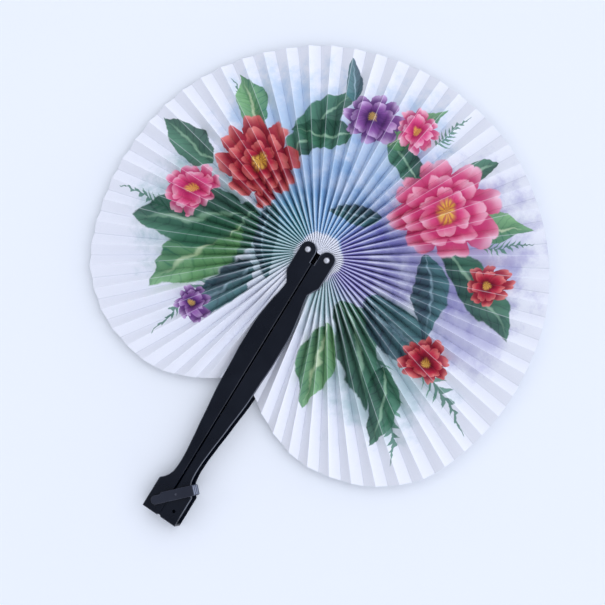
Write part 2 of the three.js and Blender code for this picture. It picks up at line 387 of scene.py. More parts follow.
def opened(ends):
    """Half the distance between the two neighbours of each end."""
    halves = []
    for k in range(len(ends)):
        low, high = max(k - 1, 0), min(k + 1, len(ends) - 1)
        halves.append((ends[high] - ends[low]).length / (high - low))
    return halves


plan_values = {
    "opened": opened(inner_ends) + opened(outer_ends),
    "lift": [0.0] * len(inner_ends),
    "bow": [HAND_FOLDED.uniform(-1, 1) * PANEL_BOW for _ in range(2 * len(inner_ends))],
}
for k in range(len(outer_ends)):
    loose = 1 if FREE_FROM < k < LAST_FOLD - FREE_FROM else 0
    plan_values["lift"].append(HAND_FOLDED.uniform(-1, 1) * RISE_CHANGE * loose)
    along = outer_ends[min(k + 1, LAST_FOLD)] - outer_ends[max(k - 1, 0)]
    outer_ends[k] = outer_ends[k] + along.normalized() * HAND_FOLDED.uniform(-1, 1) * SWAY * loose

plan_mesh = bpy.data.meshes.new("fold_plan")
plan_mesh.from_pydata([(p.x * MM, p.y * MM, 0) for p in inner_ends + outer_ends], [], [])
for name, values in plan_values.items():
    attribute = plan_mesh.attributes.new(name, "FLOAT", "POINT")
    attribute.data.foreach_set("value", [value * MM for value in values])
fold_plan = bpy.data.objects.new("fold_plan", plan_mesh)
scene.collection.objects.link(fold_plan)
print("fold plan points:", len(plan_mesh.vertices))

# %% [markdown]
# ## The print
# The leaf is white paper, printed before it was folded, so the picture lies
# flat across the open fan and every pleat shows its own slice of it. The print
# here is a plain garden pattern in watercolour tones: full pink and crimson
# blossoms, pointed leaves, fern fronds and a blue haze near the middle, with a
# white rim and a white ring around the rivets. It is drawn with shader nodes
# on a UV map that holds each point's place in the open fan, so the picture stays
# on its paper when the fan folds. Each motif is a short rule in its own turned
# and scaled coordinates, painted over the picture so far.

# %% Brush: places and soft edges on the paper
PRINT_SPAN = 300.0
print_paper, ink, paper_surface = new_finish("printed_paper")
print_map = ink.node("ShaderNodeUVMap", {"uv_map": "print"})
flat_place = print_map.vector("MULTIPLY_ADD", print_map, (PRINT_SPAN,) * 3, (-PRINT_SPAN / 2,) * 3)
flat_place = flat_place.vector("MULTIPLY", flat_place, (1, 1, 0))


def wobble(place, scale, reach):
    """Moves the brush a little to and fro, as a hand does."""
    drift = place.node("ShaderNodeTexNoise", {"noise_dimensions": "2D"}, {
        "Vector": place, "Scale": scale, "Detail": 2.0}, out=1)
    drift = place.vector("SUBTRACT", drift, (0.5, 0.5, 0.5))
    return place.vector("MULTIPLY_ADD", drift, (reach, reach, 0), place)


SLOW_DRIFT = {"scale": 0.045, "reach": 9.0}
QUICK_DRIFT = {"scale": 0.35, "reach": 1.3}
brush_x, brush_y, _ = wobble(wobble(flat_place, **SLOW_DRIFT), **QUICK_DRIFT).parts()
grain = ink.node("ShaderNodeTexNoise", {"noise_dimensions": "2D"}, {
    "Vector": flat_place, "Scale": 0.09, "Detail": 5.0, "Roughness": 0.62})
print("brush ready")

# %% A motif is a node group that paints over the picture below it
BRUSH_INPUTS = ["Place X", "Place Y", "Grain"]


def new_motif(name, hues, sizes):
    """An empty group with colour inputs for its hues and number inputs for its sizes."""
    group = bpy.data.node_groups.new(name, "ShaderNodeTree")
    for label in ["Below"] + hues:
        group.interface.new_socket(label, in_out="INPUT", socket_type="NodeSocketColor")
    for label in BRUSH_INPUTS + sizes:
        group.interface.new_socket(label, in_out="INPUT", socket_type="NodeSocketFloat")
    group.interface.new_socket("Picture", in_out="OUTPUT", socket_type="NodeSocketColor")
    entry = group.nodes.new("NodeGroupInput")
    return {socket.name: Wire(group, socket) for socket in entry.outputs if socket.name}


def end_motif(picture):
    picture.tree.links.new(picture.socket, picture.tree.nodes.new("NodeGroupOutput").inputs[0])
    print("motif", picture.tree.name, "nodes:", len(picture.tree.nodes))
    return picture.tree


def turned_place(given):
    """The place in the motif's own directions, from its base: along it and across it."""
    x, y = given["Place X"] - given["Base X"], given["Place Y"] - given["Base Y"]
    heading = given["Heading"]
    cosine, sine = heading.maths("COSINE", heading), heading.maths("SINE", heading)
    return x * cosine + y * sine, y * cosine - x * sine


def distance_of(x, y):
    return (x * x + y * y) ** 0.5


# %% Motif: a pool of thin colour, and a haze about the rivets
POOL_FRAY = 1.1
POOL_EDGE = (1.0, 0.35)
m = new_motif("pool", ["Hue"], ["Base X", "Base Y", "Radius", "Strength"])
far = distance_of(m["Place X"] - m["Base X"], m["Place Y"] - m["Base Y"]) / m["Radius"]
soft = (far + (m["Grain"] - 0.5) * POOL_FRAY).between(*POOL_EDGE)
pool = end_motif(far.mix(m["Below"], m["Hue"], soft * m["Strength"]))

HAZE_FRAY = 26
HAZE_START = 2.0
HAZE_FULL = 20
m = new_motif("haze", ["Hue"], ["Inside", "Outside", "Side X", "Side Y", "Spread", "Strength"])
far = distance_of(m["Place X"], m["Place Y"])
begins = far.between(m["Inside"], m["Inside"] + HAZE_START)
ends = (far + m["Grain"] * HAZE_FRAY).between(m["Outside"] + HAZE_FRAY / 2, m["Inside"] + HAZE_FULL)
towards = (m["Place X"] * m["Side X"] + m["Place Y"] * m["Side Y"]) / far
sector = towards.between(1 - m["Spread"], 1.1 - m["Spread"] * 0.35)
haze = end_motif(far.mix(m["Below"], m["Hue"], begins * ends * sector * m["Strength"]))

# %% Motif: pointed leaf
LEAF_SHOULDER = 0.62
LEAF_FULLNESS = 1.45
VEIN_ROWS = 9
VEIN_LEAN = 1.5
VEIN_LINE = (0.36, 0.5)
RIB_LINE = (0.14, 0.02)
LEAF_EDGE = (0.0, 0.018)
LEAF_COVER = 0.94
m = new_motif("leaf", ["Dark", "Light", "Rib"], [
    "Base X", "Base Y", "Heading", "Length", "Width", "Bend"])
along, across = turned_place(m)
along, across = along / m["Length"], across / m["Length"]
across = across + along * (along - 0.5) * m["Bend"]
half = along.maths("MAXIMUM", along, 0.0) ** LEAF_SHOULDER * (1 - along) * (m["Width"] * LEAF_FULLNESS)
side = across / half.maths("MAXIMUM", half, 0.004)
depth = abs(side)
row = along * VEIN_ROWS - depth * VEIN_LEAN
veins = row.maths("PINGPONG", row, 0.5).between(*VEIN_LINE)
tone = side.between(-0.9, 0.9) * 0.55 + m["Grain"] * 0.7 - veins * 0.3
painted = tone.mix(m["Dark"], m["Light"], tone)
painted = tone.mix(painted, m["Rib"], depth.between(*RIB_LINE) * along.between(1.0, 0.5))
inside = (half - abs(across)).between(*LEAF_EDGE)
leaf = end_motif(tone.mix(m["Below"], painted, inside * LEAF_COVER))

# %% Motif: fern frond
BLADE_LEAN = 1.5
BLADE_STAGGER = 0.22
BLADE_WIDTH = 0.40
STEM_LINE = (0.009, 0.003)
FROND_COVER = 0.9
m = new_motif("frond", ["Dark", "Light"], [
    "Base X", "Base Y", "Heading", "Length", "Width", "Bend", "Pairs"])
along, across = turned_place(m)
along, across = along / m["Length"], across / m["Length"]
across = across + along * along * m["Bend"]
out = abs(across) / m["Width"]
row = along * m["Pairs"] - out * BLADE_LEAN + across.maths("SIGN", across) * BLADE_STAGGER
gap = abs(row.maths("FRACT", row) - 0.5)
taper = along.between(1.05, 0.35) * along.between(-0.02, 0.12)
reach = out / taper.maths("MAXIMUM", taper, 0.01)
blade = (BLADE_WIDTH - gap - reach * BLADE_WIDTH).between(0.0, 0.10)
stem = abs(across).between(*STEM_LINE)
inside = along.between(-0.02, 0.02) * along.between(1.02, 0.98)
painted = along.mix(m["Dark"], m["Light"], m["Grain"] * 0.6 + out * 0.5)
covered = blade.maths("MAXIMUM", blade, stem) * inside
frond = end_motif(along.mix(m["Below"], painted, covered * FROND_COVER))

# %% Motif: ring of petals; the ring painted on top of it throws a soft shade
PETAL_NOTCH = 0.30
PETAL_DIMPLE = 0.07
PETAL_STREAKS = 13
PETAL_EDGE = (1.0, 0.955)
RING_SHADE = (1.30, 0.95)
m = new_motif("petals", ["Deep", "Body", "Pale"], [
    "Base X", "Base Y", "Heading", "Radius", "Tilt", "Petals", "Phase", "Covered"])
along, across = turned_place(m)
across = across / m["Tilt"]
share = distance_of(along, across) / m["Radius"]
turn = along.maths("ARCTAN2", across, along) * m["Petals"] / math.tau + m["Phase"]
edge = abs(turn.maths("FRACT", turn) - 0.5) * 2
reached = share / (1 - edge**3 * PETAL_NOTCH - (1 - edge) ** 7 * PETAL_DIMPLE)
painted = share.mix(m["Deep"], m["Body"], reached.between(0.30, 0.72))
painted = share.mix(painted, m["Pale"], reached.between(0.62, 1.0) * (1 - edge * 0.75))
streak = edge.maths("SINE", edge * PETAL_STREAKS + reached * 2) * 0.15 + 0.15
painted = share.mix(painted, m["Deep"], streak * reached.between(1.05, 0.2) + edge**5 * 0.55)
painted = share.mix(painted, m["Deep"], (share / m["Covered"]).between(*RING_SHADE) * 0.6)
petals = end_motif(share.mix(m["Below"], painted, reached.between(*PETAL_EDGE)))

# %% Motif: the golden heart of a blossom
STAMENS = 11
m = new_motif("heart", ["Hue"], ["Base X", "Base Y", "Radius"])
x, y = m["Place X"] - m["Base X"], m["Place Y"] - m["Base Y"]
share = distance_of(x, y) / m["Radius"]
spokes = x.maths("ARCTAN2", y, x) * (STAMENS / math.tau) + share * 0.7
dots = spokes.maths("PINGPONG", spokes, 0.5).between(0.16, 0.30) * 0.6 + 0.4
heart = end_motif(share.mix(m["Below"], m["Hue"], share.between(1.0, 0.5) * dots))

# %% [markdown]
# ## Composing the print
# The order is the painter's: thin washes first, then fronds and leaves, then
# the blossoms over them. Places are in millimetres from the middle of the
# rivets, with the handle towards minus y.


# %% Inks
def paint(motif, picture, **values):
    """Paints a motif over the picture so far. A value's name has _ for the space in its socket's."""
    made = ink.node("ShaderNodeGroup", {"node_tree": motif}, {
        "Below": picture, "Place X": brush_x, "Place Y": brush_y, "Grain": grain})
    for name, value in values.items():
        made.socket.node.inputs[name.replace("_", " ")].default_value = value
    return made


SKY = colour(120, 176, 218)
VIOLET = colour(116, 106, 186)
TEAL = colour(84, 156, 156)
PETAL_PINK = (colour(190, 38, 104), colour(232, 92, 148), colour(250, 206, 222))
PETAL_RED = (colour(126, 18, 48), colour(202, 48, 76), colour(238, 146, 140))
PETAL_PLUM = (colour(82, 42, 110), colour(150, 92, 168), colour(216, 188, 228))
DARK_LEAF = (colour(28, 66, 58), colour(74, 132, 104), colour(150, 190, 160))
FRESH_LEAF = (colour(46, 112, 84), colour(132, 184, 128), colour(206, 224, 186))
SHADE_LEAF = (colour(56, 66, 88), colour(84, 136, 138), colour(150, 180, 190))
FERN = (colour(46, 104, 92), colour(124, 176, 150))
GOLD = colour(238, 196, 92)

# %% Paint: washes
FIBRE_SCALE = 1.6
fibre = ink.node("ShaderNodeTexNoise", {"noise_dimensions": "2D"}, {
    "Vector": flat_place, "Scale": FIBRE_SCALE, "Detail": 3.0})
picture = ink.mix(colour(231, 234, 243), colour(238, 240, 247), fibre)
for inside, outside, side, spread, hue, strength in [
    (11.5, 62, -18, 0.95, SKY, 0.85), (12.5, 60, 68, 0.60, VIOLET, 0.90),
    (12.0, 54, -92, 0.50, TEAL, 0.80), (13.5, 48, 140, 0.25, TEAL, 0.65),
]:
    side = math.radians(side)
    picture = paint(
        haze, picture, Inside=inside, Outside=outside, Side_X=math.sin(side), Side_Y=math.cos(side),
        Spread=spread, Hue=hue, Strength=strength)
for x, y, radius, hue, strength in [
    (60, 42, 54, VIOLET, 0.55), (-50, 46, 52, SKY, 0.50), (62, -36, 42, TEAL, 0.45),
    (-70, -14, 46, TEAL, 0.50), (2, 72, 40, SKY, 0.45), (88, 8, 32, VIOLET, 0.35),
]:
    picture = paint(pool, picture, Base_X=x, Base_Y=y, Radius=radius, Hue=hue, Strength=strength)

# %% Paint: fronds and leaves
FROND_PAIRS = 9
for x, y, heading, length, width, bend in [
    (60, -18, -8, 60, 0.16, 0.25), (56, -30, -38, 58, 0.16, 0.22), (-68, 48, 146, 32, 0.18, -0.2),
    (-80, -18, 200, 40, 0.18, 0.25), (72, 50, 18, 28, 0.18, -0.2), (24, 82, 84, 25, 0.20, 0.2),
    (-44, -40, 242, 46, 0.17, -0.2),
]:
    picture = paint(
        frond, picture, Base_X=x, Base_Y=y, Heading=math.radians(heading), Length=length, Width=width,
        Bend=bend, Pairs=FROND_PAIRS, Dark=FERN[0], Light=FERN[1])
for x, y, heading, length, width, hues, bend in [
    (24, -14, -42, 60, 0.44, DARK_LEAF, 0.2), (34, -6, -16, 58, 0.42, SHADE_LEAF, -0.2),
    (22, -30, -70, 48, 0.40, FRESH_LEAF, 0.1), (62, -32, -62, 44, 0.44, DARK_LEAF, 0.15),
    (52, 30, -58, 48, 0.40, SHADE_LEAF, 0.15), (60, 36, -18, 58, 0.40, DARK_LEAF, 0.2),
    (58, 58, 13, 36, 0.44, FRESH_LEAF, -0.2), (44, 70, 60, 28, 0.46, DARK_LEAF, 0.1),
    (30, 60, 152, 42, 0.36, DARK_LEAF, 0.1), (18, 36, 206, 30, 0.40, SHADE_LEAF, 0.1),
    (-44, 40, 80, 54, 0.38, DARK_LEAF, 0.2), (-68, 42, 132, 36, 0.46, FRESH_LEAF, -0.2),
    (-38, 12, 292, 42, 0.40, SHADE_LEAF, -0.2), (-46, 6, 262, 56, 0.46, DARK_LEAF, 0.2),
    (-46, -8, 238, 62, 0.54, FRESH_LEAF, -0.1), (-50, -2, 212, 66, 0.54, DARK_LEAF, 0.1),
    (-80, 16, 174, 42, 0.44, DARK_LEAF, 0.1), (-20, 66, 206, 36, 0.42, DARK_LEAF, 0.1),
    (0, 72, 62, 36, 0.40, FRESH_LEAF, 0.1), (-28, 84, 128, 24, 0.44, SHADE_LEAF, 0.0),
    (-30, -22, 250, 50, 0.40, SHADE_LEAF, 0.1),
]:
    picture = paint(
        leaf, picture, Base_X=x, Base_Y=y, Heading=math.radians(heading), Length=length, Width=width,
        Bend=bend, Dark=hues[0], Light=hues[1], Rib=hues[2])

# %% Paint: blossoms
RING_SIZES = [1.0, 0.72, 0.45]
RING_TURN = 0.37
OUTER_PETALS = 8
HEART_SIZE = 0.22
HEART_SHADE = 0.3
for x, y, radius, heading, tilt, hues, rings in [
    (-14, 80, 18, 40, 0.86, PETAL_PLUM, 2), (46, 56, 32, 20, 0.90, PETAL_PINK, 3),
    (-84, -4, 17, 60, 0.85, PETAL_PINK, 2), (-58, 28, 27, -30, 0.88, PETAL_RED, 3),
    (80, -18, 15, 10, 0.85, PETAL_RED, 2), (10, 86, 13, -10, 0.9, PETAL_PINK, 2),
    (88, 34, 13, 50, 0.88, PETAL_RED, 2), (-48, -58, 12, 20, 0.88, PETAL_PLUM, 2),
]:
    sizes = RING_SIZES[:rings]
    for k, size in enumerate(sizes):
        covered = sizes[k + 1] / size if k + 1 < rings else HEART_SHADE
        picture = paint(
            petals, picture, Base_X=x, Base_Y=y, Heading=math.radians(heading), Radius=radius * size,
            Tilt=tilt, Petals=OUTER_PETALS - k, Phase=RING_TURN * k, Covered=covered,
            Deep=hues[0], Body=hues[1], Pale=hues[2])
    picture = paint(heart, picture, Base_X=x, Base_Y=y, Radius=radius * HEART_SIZE, Hue=GOLD)
print("print nodes:", len(print_paper.node_tree.nodes))

# %% [markdown]
# ## Paper
# Cheap fan paper is smooth, slightly glossy where it is printed, and creased
# along every fold. A second UV map holds the fold number and the place along
# the fold, so the crease lines follow the pleats: the ridges are painted paler,
# most towards the rivets, partly as worn print and partly as a painted highlight,
# and the valley creases are painted a little greyer as painted shade. The back
# is plain paper.

# %% Finish the paper
FIBRE_DEPTH = 0.1
CREASE = (0.055, 0.012)
RIDGE_TOP = (0.74, 0.97)
RUBBED_HIGHLIGHT_ZONE = (0.50, 0.04)
pleat_map = ink.node("ShaderNodeUVMap", {"uv_map": "pleat"})
fold_number, fold_along, _ = pleat_map.parts()
to_fold = abs(fold_number.maths("FRACT", fold_number + 0.5) - 0.5)
crease = to_fold.between(*CREASE)
ridge = fold_number.maths("PINGPONG", fold_number, 1.0)
# Painted highlight, partly worn print: the ridges are painted paler, most towards the rivets.
rubbed_highlight = ridge.between(*RIDGE_TOP) * fold_along.between(*RUBBED_HIGHLIGHT_ZONE) * 0.75
rubbed_highlight = rubbed_highlight.maths("MAXIMUM", rubbed_highlight, crease * ridge * 0.35)
picture = ink.mix(picture, colour(236, 239, 247), rubbed_highlight)
# Painted shade: the valley creases are painted greyer.
picture = ink.mix(picture, colour(120, 124, 140), crease * ridge.between(0.4, 0.0) * 0.18)
feed(picture, paper_surface, "Base Color")
feed(0.58 + fibre * 0.2, paper_surface, "Roughness")
paper_surface.inputs["Specular IOR Level"].default_value = 0.3
relief = ink.node("ShaderNodeBump", inputs={
    "Strength": 0.25, "Distance": FIBRE_DEPTH * MM, "Height": fibre * 0.6 + crease * -0.4})
feed(relief, paper_surface, "Normal")

plain_paper, back, back_surface = new_finish("plain_paper")
back_map = back.node("ShaderNodeUVMap", {"uv_map": "print"})
back_fibre = back.node("ShaderNodeTexNoise", {"noise_dimensions": "2D"}, {
    "Vector": back_map, "Scale": FIBRE_SCALE * PRINT_SPAN, "Detail": 3.0})
back_cloud = back.node("ShaderNodeTexNoise", {"noise_dimensions": "2D"}, {
    "Vector": back_map, "Scale": 9.0, "Detail": 3.0})
back_tint = back.mix(colour(224, 228, 236), colour(240, 240, 244), back_cloud.between(0.35, 0.65))
feed(back.mix(back_tint, colour(246, 246, 248), back_fibre * 0.5), back_surface, "Base Color")
feed(0.66 + back_fibre * 0.2, back_surface, "Roughness")
back_surface.inputs["Specular IOR Level"].default_value = 0.25
back_relief = back.node("ShaderNodeBump", inputs={
    "Strength": 0.25, "Distance": FIBRE_DEPTH * MM, "Height": back_fibre})
feed(back_relief, back_surface, "Normal")
print("paper finishes ready")

# %% [markdown]
# ## Pleating the leaf
# A pleat follows a rule: the paper panels between two folds never change their
# width, so where the folds lie close together the pleat stands tall, and where
# the rim is pulled open it lies nearly flat. At the rivets the paper is pressed
# together: the ridges there are broad and round, the valleys narrow and less
# deep. Geometry Nodes can apply that rule to a plain grid: each grid point finds
# its two folds in the plan, goes the right share along both, and gets its height
# from the panel width and how far the folds are open. One tree makes every gore
# of four panels, from its first fold.


# %% A Geometry Nodes tree, and an object that is shaped by it
def new_tree(name, **inputs):
    """An empty tree and the wires of its inputs. An input's name has _ for the space in its socket's."""
    tree = bpy.data.node_groups.new(name, "GeometryNodeTree")
    for label, kind in inputs.items():
        spaced = label.replace("_", " ")
        tree.interface.new_socket(spaced, in_out="INPUT", socket_type="NodeSocket" + kind)
    tree.interface.new_socket("Geometry", in_out="OUTPUT", socket_type="NodeSocketGeometry")
    entry = tree.nodes.new("NodeGroupInput")
    return Wire(tree), {socket.name: Wire(tree, socket) for socket in entry.outputs if socket.name}


def end_tree(shape, material):
    """Ends the tree with real geometry in one material."""
    shape = shape.node("GeometryNodeRealizeInstances", inputs={"Geometry": shape})
    shape = shape.node("GeometryNodeSetMaterial", inputs={"Geometry": shape, "Material": material})
    shape.tree.links.new(shape.socket, shape.tree.nodes.new("NodeGroupOutput").inputs[0])
    print(shape.tree.name, "nodes:", len(shape.tree.nodes))
    return shape.tree


def shaped_by(tree, name, **values):
    """A new object whose modifier runs the tree with these values."""
    maker = bpy.data.objects.new(name + "_maker", bpy.data.meshes.new(name + "_start"))
    scene.collection.objects.link(maker)
    modifier = maker.modifiers.new(tree.name, "NODES")
    modifier.node_group = tree
    for socket in tree.interface.items_tree:
        if socket.in_out == "INPUT":
            modifier[socket.identifier] = values[socket.name.replace(" ", "_")]
    return maker


# %% A point looked up by its number in an object, its place or a value that it holds
def looked_up(tree, holder, number, name=None):
    own_space = {"transform_space": "ORIGINAL"}
    points = tree.node("GeometryNodeObjectInfo", own_space, {"Object": holder}, "Geometry")
    if name is None:
        kind = "FLOAT_VECTOR"
        value = tree.node("GeometryNodeInputPosition")
    else:
        kind = "FLOAT"
        value = tree.node("GeometryNodeInputNamedAttribute", {"data_type": kind}, {"Name": name})
    return tree.node("GeometryNodeSampleIndex", {"data_type": kind, "domain": "POINT", "clamp": True}, {
        "Geometry": points, "Value": value, "Index": number})


# %% Where a fold is
WIDEST_OPENING = 0.99
PRESSED_ZONE = (0.20, 0.03)
ROUND_ZONE = (0.34, 0.04)
g, given = new_tree(
    "pleating", Fold_Plan="Object", First_Fold="Int", Panels="Int", Panel_Width="Float",
    Middle_Height="Float", Pressed="Float", Rounding="Float", Rows="Int", Columns="Int",
    Paper="Material")


def plan_value(number, name=None):
    return looked_up(g, given["Fold Plan"], number, name)


def fold_at(number, share):
    """Where a fold is, at a share of its length: its place in the plan and its height."""
    far = number + (LAST_FOLD + 1)
    inner, outer = plan_value(number), plan_value(far)
    place = g.node("ShaderNodeMix", {"data_type": "VECTOR"}, {0: share, 4: inner, 5: outer}, 1)
    open_in, open_out = plan_value(number, "opened"), plan_value(far, "opened")
    opening = open_in + (open_out - open_in) * share
    width = given["Panel Width"]
    opening = opening.maths("MINIMUM", opening, width * WIDEST_OPENING)
    rise = (width * width - opening * opening) ** 0.5 * 0.5
    up = number.maths("FLOORED_MODULO", number, 2.0) * 2 - 1
    pressed = share.between(*PRESSED_ZONE) * (1 - up) * 0.5 * given["Pressed"]
    return place, rise * up * (1 - pressed) + plan_value(far, "lift") * share * share


# %% The grid laid on its folds
columns = given["Panels"] * given["Columns"]
grid = g.node("GeometryNodeMeshGrid", inputs={
    "Size X": 1.0, "Size Y": 1.0, "Vertices X": columns + 1, "Vertices Y": given["Rows"]})
grid_x, grid_y, _ = g.node("GeometryNodeInputPosition").parts()
step = (grid_x + 0.5) * given["Panels"]
share = grid_y + 0.5
whole = step.maths("FLOOR", step + 0.001)
whole = whole.maths("MINIMUM", whole, given["Panels"] - 1)
over = step - whole
first = given["First Fold"] + whole
rises = first.maths("FLOORED_MODULO", first, 2.0)
place_a, height_a = fold_at(first, share)
place_b, height_b = fold_at(first + 1, share)
spot = g.node("ShaderNodeMix", {"data_type": "VECTOR"}, {0: over, 4: place_a, 5: place_b}, 1)
bow = plan_value(first, "bow") * (over * (1 - over)) * 4 * share
from_ridge = over * rises + (1 - over) * (1 - rises)
ridge_height = height_a * rises + height_b * (1 - rises)
valley_height = height_b * rises + height_a * (1 - rises)
drop = from_ridge ** (1 + share.between(*ROUND_ZONE) * given["Rounding"])
height = ridge_height + (valley_height - ridge_height) * drop + bow + given["Middle Height"]
spot_x, spot_y, _ = spot.parts()
placed = g.node("ShaderNodeCombineXYZ", inputs={0: spot_x, 1: spot_y, 2: height})
print_x = spot_x / (PRINT_SPAN * MM) + 0.5
print_y = spot_y / (PRINT_SPAN * MM) + 0.5

# %% Its two maps, and the end of the tree
maps = {
    "print": g.node("ShaderNodeCombineXYZ", inputs={0: print_x, 1: print_y}),
    "pleat": g.node("ShaderNodeCombineXYZ", inputs={0: step + given["First Fold"], 1: share}),
}
sheet = grid
for name, value in maps.items():
    sheet = g.node("GeometryNodeStoreNamedAttribute", {"data_type": "FLOAT2", "domain": "CORNER"}, {
        "Geometry": sheet, "Name": name, "Value": value})
sheet = g.node("GeometryNodeSetPosition", inputs={"Geometry": sheet, "Position": placed})
pleating = end_tree(sheet, given["Paper"])

# %% [markdown]
# ## Thirty gores
# Real paper is one strip. A stiff body can't close like a pleat, so the frame
# splits the leaf into thirty gores of four panels, which spread evenly as the
# halves turn. Solidify gives the paper its two faces, printed above and plain
# below, and the folds stay sharp.

# %% Make one gore
GORE_PANELS = 4
GORES = LAST_FOLD // GORE_PANELS
PANEL_WIDTH = 6.85
MIDDLE_HEIGHT = 5.15
PAPER_THICKNESS = 0.14
FOLD_ROWS = 32
PANEL_COLUMNS = 4
PRESSED = 0.35
ROUNDING = 4.0
FOLD_SHARP = 18


def smooth(mesh, sharp_from):
    """Smooth shading, with edges past an angle left sharp."""
    mesh.shade_smooth()
    mesh.set_sharp_from_angle(angle=math.radians(sharp_from))


def plain_piece(maker, name, *materials):
    """The maker with its modifiers applied, as a plain mesh object in these materials."""
    bpy.context.view_layer.update()
    evaluated = maker.evaluated_get(bpy.context.evaluated_depsgraph_get())
    mesh = bpy.data.meshes.new_from_object(evaluated)
    bpy.data.objects.remove(maker)
    mesh.name = name
    mesh.materials.clear()
    for material in materials:
        mesh.materials.append(material)
    piece = bpy.data.objects.new(name, mesh)
    scene.collection.objects.link(piece)
    return piece


def pleated_gore(name, first_fold):
    maker = shaped_by(
        pleating, name, Fold_Plan=fold_plan, First_Fold=first_fold, Panels=GORE_PANELS,
        Panel_Width=PANEL_WIDTH * MM, Middle_Height=MIDDLE_HEIGHT * MM, Pressed=PRESSED,
        Rounding=ROUNDING, Rows=FOLD_ROWS, Columns=PANEL_COLUMNS, Paper=print_paper)
    thick = maker.modifiers.new("paper", "SOLIDIFY")
    thick.thickness = PAPER_THICKNESS * MM
    thick.offset = 0
    gore = plain_piece(maker, name, print_paper, plain_paper)
    for face in gore.data.polygons:
        face.material_index = 0 if face.normal.z > 0 else 1
    smooth(gore.data, FOLD_SHARP)
    gore.data.transform(Matrix.Translation(RIVETS_MIDDLE))
    return gore


# %% Lay the gores on their bodies
joint_of = {joint["child"]: joint for joint in frame["joints"]}
faces = 0
for number in range(1, GORES + 1):
    gore = pleated_gore("leaf_%02d" % number, GORE_PANELS * (number - 1))
    faces += len(gore.data.polygons)
    body = {1: "half_right", GORES: "half_left"}.get(number, "gore_%02d" % number)
    joint = joint_of[body]
    side = 1 if number <= GORES // 2 else -1
    closing = (1, 0, 0)
    if number not in (1, GORES):
        swing = max(abs(limit) for limit in joint["range_deg"])
        bearing = math.radians(180 - swing)
        closing = (math.cos(bearing), side * math.sin(bearing), 0)
    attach(gore, body)
    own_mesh(gore)
    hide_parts("leaf_gore_%02d" % number)
bpy.data.objects.remove(fold_plan)
print("gores:", GORES, "faces:", faces)

# %% [markdown]
# ## Black plastic
# The two halves and the latch are injection-moulded in black plastic: satin, a
# little uneven, with fine dust and rubbed spots. The latch is a softer charcoal
# and its ribbed thumb tab is a paler grey, with a painted highlight along the
# tops of its ribs. The CAD shapes have bevelled edges. In the copies below the
# triangles are joined into clean faces, and weighted normals keep those faces
# flat and bend the light over the bevels, so that they look round. The bevels
# on top are also painted a little paler, as a painted highlight with some
# rubbing, though hardly along the seam, and dust lies on the tops.

# %% Plastic finish
SEAM_SIDE = (0.9, 1.3)
SPECK_SCALE = 210.0
PORE_DEPTH = 0.05


def plastic(name, base, worn, rubbed_highlight, roughness):
    """A moulded plastic, with the wires of its place and its colour."""
    material, p, surface = new_finish(name)
    place = p.node("ShaderNodeTexCoord", out=3)
    cloud = p.node("ShaderNodeTexNoise", inputs={"Vector": place, "Scale": 60.0, "Detail": 4.0})
    pores = p.node("ShaderNodeTexNoise", inputs={"Vector": place, "Scale": 2600.0, "Detail": 2.0})
    cells = {"Vector": place, "Scale": SPECK_SCALE}
    specks = p.node("ShaderNodeTexVoronoi", inputs=cells)
    chance = p.node("ShaderNodeTexVoronoi", inputs=cells, out=1).parts()[0]
    slope = p.node("ShaderNodeTexCoord", out=1).parts()[2]
    dust = specks.between(0.10, 0.04) * chance.between(0.90, 0.93) * slope.between(0.6, 0.9)
    # Painted highlight, with some rubbing: the bevels on top are painted paler, hardly at all along the
    # seam.
    edge = slope.between(0.45, 0.65) * slope.between(0.997, 0.96)
    edge = edge * ((abs(place.parts()[0]) / MM).between(*SEAM_SIDE) * 0.85 + 0.15)
    tint = p.mix(base, worn, cloud.between(0.35, 0.80) * 0.5)
    tint = p.mix(tint, rubbed_highlight, edge * cloud.between(0.25, 0.55) * 0.8)
    tint = p.mix(tint, colour(120, 124, 132), dust * 0.5)
    feed(tint, surface, "Base Color")
    feed(roughness + cloud * 0.12 + dust * 0.3, surface, "Roughness")
    relief = p.node("ShaderNodeBump", inputs={
        "Strength": 0.12, "Distance": PORE_DEPTH * MM, "Height": pores + cloud * 0.5})
    feed(relief, surface, "Normal")
    return material, place, tint, surface


black_plastic = plastic(
    "black_plastic", colour(3, 10, 24), colour(10, 18, 33), colour(100, 106, 120), 0.22)[0]
charcoal_plastic, place, tint, surface = plastic(
    "charcoal_plastic", colour(26, 31, 46), colour(36, 42, 59), colour(70, 74, 88), 0.34)

# %% The latch's thumb tab, paler grey, with painted highlights on its rib tops
LATCH_PIVOT = Vector((-6.1, -134.2, 0)) * MM
LATCH_TURN = math.radians(45)
TAB_FROM = 21.9
RIB_TOP = 12.0
SOFT_EDGE = 0.2
x, y, z = place.parts()
step_x, step_y = math.cos(LATCH_TURN) / MM, math.sin(LATCH_TURN) / MM
along = (x - LATCH_PIVOT.x) * step_x + (y - LATCH_PIVOT.y) * step_y
tab = along.between(TAB_FROM - SOFT_EDGE, TAB_FROM + SOFT_EDGE)
tint = tint.mix(tint, colour(70, 76, 92), tab)
# Painted highlight: the tops of the ribs are painted pale grey.
rib_top_highlight = tab * (z / MM).between(RIB_TOP - SOFT_EDGE, RIB_TOP)
feed(tint.mix(tint, colour(142, 150, 170), rib_top_highlight), surface, "Base Color")
print("plastics ready")


# %% Softened copies of the moulded parts
SAME_POINT = 0.002
SAME_PLANE = 0.5
MOULDED_SHARP = 50
KEEP_FLAT = 100


